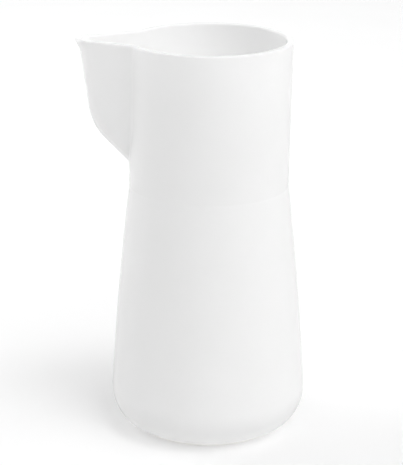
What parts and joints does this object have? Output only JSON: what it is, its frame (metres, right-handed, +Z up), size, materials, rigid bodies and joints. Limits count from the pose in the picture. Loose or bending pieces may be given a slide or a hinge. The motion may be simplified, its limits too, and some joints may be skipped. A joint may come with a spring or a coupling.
{
  "type": "porcelain pouring jug",
  "caption": "Tall glazed porcelain coffee jug with an open top, straight neck, V-shaped pouring beak, flared lower body and recessed foot ring.",
  "frame": {"origin": "centre of the foot ring's underside, on the table", "axes": "+Z up along the jug's axis, the beak points along -X, +Y completes the right-handed frame"},
  "size_m": [0.1207, 0.1034, 0.21],
  "materials": {
    "glaze": "glossy white glaze"
  },
  "bodies": {
    "root": {"neck": "glaze", "skirt": "glaze", "floor": "glaze", "foot_ring": "glaze", "beak": "glaze"}
  },
  "joints": []
}
